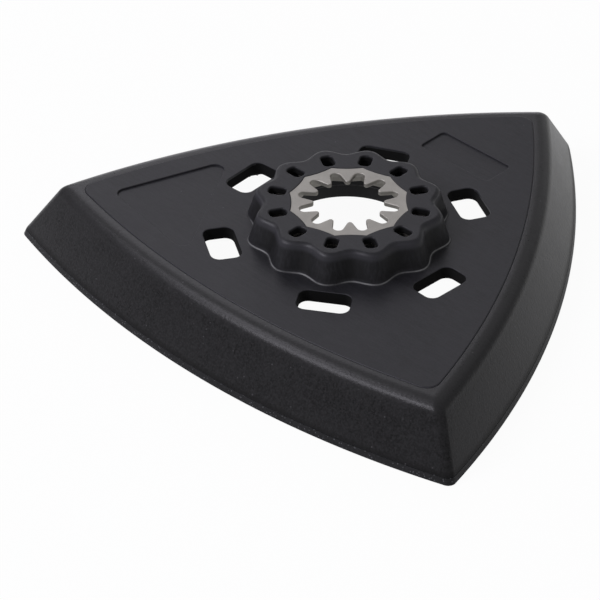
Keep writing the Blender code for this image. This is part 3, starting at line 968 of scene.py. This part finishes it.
class SANDPAD_OT_hook_sheet(bpy.types.Operator):
    """Build the hook sheet under the pad, with its field of small hooks"""
    bl_idname = "sandpad.hook_sheet"
    bl_label = "Hook Sheet"

    def execute(self, context):
        pad = context.scene.pad_sizes

        def outer(inset):
            return pad_outline(pad, inset, pad.face_corner)

        low = pad.hook_height
        high = pad.sheet_thickness
        nip = SHEET_NIP
        soft = 0.3 * nip
        band = pad.edge_band
        foot = pad.band_lift
        s = Skin()
        lines = s.lines(outer, (
            (band + nip, low), (band, low - nip), (band - nip, foot), (nip, foot),
            (soft, foot + soft), (0.0, foot + nip), (SHEET_LEAN, high - nip),
            (SHEET_LEAN + soft, high - soft), (SHEET_LEAN + nip, high)))
        lines += s.lines(lambda depth: cavity(pad, depth), (
            (nip, high), (0.0, high - nip), (0.0, low + nip), (nip, low)))
        s.skin(lines + lines[:1], True)
        mesh = s.mesh("hook_sheet")
        close_up(mesh)
        piece = add_piece("hook_sheet", mesh)
        b = Skin()
        b.fill(b.line(outer(band + BED_MARGIN), low),
               [b.line(cavity(pad, BED_INNER_MARGIN), low)])
        bed = add_piece("hook_bed", b.mesh("hook_bed"))
        hook_maker().run(piece, Spacing=pad.hook_spacing, Height=pad.hook_height,
                         Wire=pad.hook_wire, Bed=bed, Seed=HOOK_SEED,
                         Finish=hook_finish(context.scene.pad_colours))
        bpy.data.objects.remove(bed)
        piece.data.shade_smooth()
        piece.data.set_sharp_from_angle(angle=radians(SHARP))
        settle(piece, "hook_facing")
        return {'FINISHED'}


# ---- stage

FRAME_PIXELS = 600
FOCAL_PIXELS = 4064            # focal length in pixels of the frame
AZIMUTH = radians(43.37)       # camera round from -Y towards +X
ELEVATION = radians(36.37)
ROLL = radians(0.70)
DISTANCE = 633.4 * MM
HUB_PIXEL = (348.8, 201.1)     # where the middle of the hub's top falls in the frame
LAMP_TINT = (0.93, 0.91, 1.0)  # cool daylight
LAMP_DISTANCE = 1.2
LAMPS = (                      # name, azimuth from +X, elevation, width, height, watts
    ("key_lamp", 148, 37, 0.6, 0.6, 1.4),
    ("upper_left_lamp", 221, 49, 0.5, 0.4, 2.6),
    ("left_lamp", 238, 35, 0.3, 0.3, 2.4),
    ("front_left_lamp", 260, 38, 0.3, 0.3, 3.4),
    ("low_lamp", 131, 5, 0.5, 0.16, 0.45),
    ("rim_lamp", 100, 12, 0.5, 0.2, 0.1),
)
SKY_LEVEL = 0.33               # strength of the sky's light on the object
FLOOR_REACH = 8.0
FLOOR_LIT = 0.05               # part of the white floor that is lit, the rest of it glows
MIRROR_FADE = (-80 * MM, 120 * MM)  # the glow's mirror image rises from none to all here


def add_camera():
    back = Vector((sin(AZIMUTH) * cos(ELEVATION), -cos(AZIMUTH) * cos(ELEVATION), sin(ELEVATION)))
    level = Vector((cos(AZIMUTH), sin(AZIMUTH), 0.0))
    upright = back.cross(level)
    right = cos(ROLL) * level + sin(ROLL) * upright
    up = cos(ROLL) * upright - sin(ROLL) * level
    across = (HUB_PIXEL[0] - FRAME_PIXELS / 2) / FOCAL_PIXELS * DISTANCE
    above = (FRAME_PIXELS / 2 - HUB_PIXEL[1]) / FOCAL_PIXELS * DISTANCE
    place = back * DISTANCE - right * across - up * above
    data = bpy.data.cameras.new("studio_camera")
    data.sensor_width = 36.0
    data.lens = FOCAL_PIXELS / FRAME_PIXELS * data.sensor_width
    data.clip_start = 0.01
    data.clip_end = 50.0
    camera = bpy.data.objects.new("studio_camera", data)
    columns = Matrix((right, up, back)).transposed()
    camera.matrix_world = Matrix.Translation(place) @ columns.to_4x4()
    bpy.context.scene.collection.objects.link(camera)
    bpy.context.scene.camera = camera


def add_lamp(name, azimuth, elevation, width, height, watts):
    """Soft rectangular lamp that faces the middle of the pad, its angles in degrees."""
    data = bpy.data.lights.new(name, 'AREA')
    data.shape = 'RECTANGLE'
    data.size, data.size_y = width, height
    data.energy = watts
    data.color = LAMP_TINT
    lamp = bpy.data.objects.new(name, data)
    x, y = polar(cos(radians(elevation)), radians(azimuth))
    towards = Vector((x, y, sin(radians(elevation))))
    lamp.matrix_world = Matrix.Translation(towards * LAMP_DISTANCE) @ \
        towards.to_track_quat('Z', 'Y').to_matrix().to_4x4()
    bpy.context.scene.collection.objects.link(lamp)


def floor_finish(colours):
    """Pale matte floor that shows white, with the object's soft shadow kept."""
    f = Finish("pale_floor")
    nodes = f.nodes_of.nodes
    nodes.remove(f.shader)
    pale = colours.floor
    shade = f.blend(f.noise(40 * MM, 2.0), lighter(pale, 0.99), lighter(pale, 1.01))
    plain = f.node('ShaderNodeBsdfDiffuse', {}, Color=shade)
    lit = f.node('ShaderNodeBsdfDiffuse', {}, Color=(FLOOR_LIT, FLOOR_LIT, FLOOR_LIT, 1.0))
    glow = f.node('ShaderNodeEmission', {}, Color=(1.0, 1.0, 1.0, 1.0), Strength=1 - FLOOR_LIT)
    white = f.node('ShaderNodeAddShader', {}, lit, glow)
    # A ray sees all of the white straight or through glass, and part of it in a mirror
    straight, mirrored, through = [f.node('ShaderNodeLightPath', {}, out=number)
                                   for number in (0, 3, 6)]
    seen = f.node('ShaderNodeMath', {'operation': 'ADD', 'use_clamp': True}, straight + through,
                  mirrored * f.ramp(f.depth, *MIRROR_FADE))
    mixed = f.node('ShaderNodeMixShader', {}, seen, plain, white)
    f.feed(nodes['Material Output'].inputs['Surface'], mixed)
    return f.material


class SANDPAD_OT_stage(bpy.types.Operator):
    """Set the floor, soft lamps, sky and camera round the pad"""
    bl_idname = "sandpad.stage"
    bl_label = "Stage"

    def execute(self, context):
        scene = context.scene
        mesh = bpy.data.meshes.new("floor")
        corners = [(x * FLOOR_REACH, y * FLOOR_REACH, -HUB_TOP)
                   for x, y in ((-1, -1), (1, -1), (1, 1), (-1, 1))]
        mesh.from_pydata(corners, [], [(0, 1, 2, 3)])
        mesh.materials.append(floor_finish(scene.pad_colours))
        add_piece("floor", mesh)
        for lamp in LAMPS:
            add_lamp(*lamp)
        world = bpy.data.worlds.new("studio")
        world.use_nodes = True
        tree = Tree(world.node_tree)
        sky = world.node_tree.nodes['Background']
        tree.feed(sky.inputs['Color'], (1.0, 1.0, 1.0, 1.0))
        camera_ray = tree.node('ShaderNodeLightPath', {}, out=0)
        tree.feed(sky.inputs['Strength'], camera_ray * (1 - SKY_LEVEL) + SKY_LEVEL)
        scene.world = world
        scene.view_settings.view_transform = 'Standard'
        add_camera()
        return {'FINISHED'}


PIECES = (SANDPAD_OT_star_ring, SANDPAD_OT_hub_plate, SANDPAD_OT_soft_body, SANDPAD_OT_hook_sheet,
          SANDPAD_OT_stage)


class SANDPAD_PT_panel(bpy.types.Panel):
    """Lists the pad's pieces, sizes and colours"""
    bl_idname = "SANDPAD_PT_panel"
    bl_label = "Sanding Pad"
    bl_space_type = 'VIEW_3D'
    bl_region_type = 'UI'
    bl_category = "Sanding Pad"

    def draw(self, context):
        for piece in PIECES:
            self.layout.operator(piece.bl_idname)
        for name, group in GROUPS.items():
            box = self.layout.box()
            for label in group.__annotations__:
                box.prop(getattr(context.scene, name), label,
                         text=label.replace('_', ' ').capitalize())


GROUPS = {"pad_sizes": PadSizes, "plate_sizes": PlateSizes, "star_sizes": StarSizes,
          "pad_colours": PadColours}
CLASSES = (*GROUPS.values(), *PIECES, SANDPAD_PT_panel)


def register():
    for item in CLASSES:
        bpy.utils.register_class(item)
    for name, group in GROUPS.items():
        setattr(bpy.types.Scene, name, PointerProperty(type=group))


def unregister():
    for name in GROUPS:
        delattr(bpy.types.Scene, name)
    for item in reversed(CLASSES):
        bpy.utils.unregister_class(item)


def main():
    register()
    bpy.ops.sandpad.stage()
    bpy.ops.sandpad.star_ring()
    bpy.ops.sandpad.hub_plate()
    bpy.ops.sandpad.soft_body()
    bpy.ops.sandpad.hook_sheet()


if __name__ == "__main__":
    main()
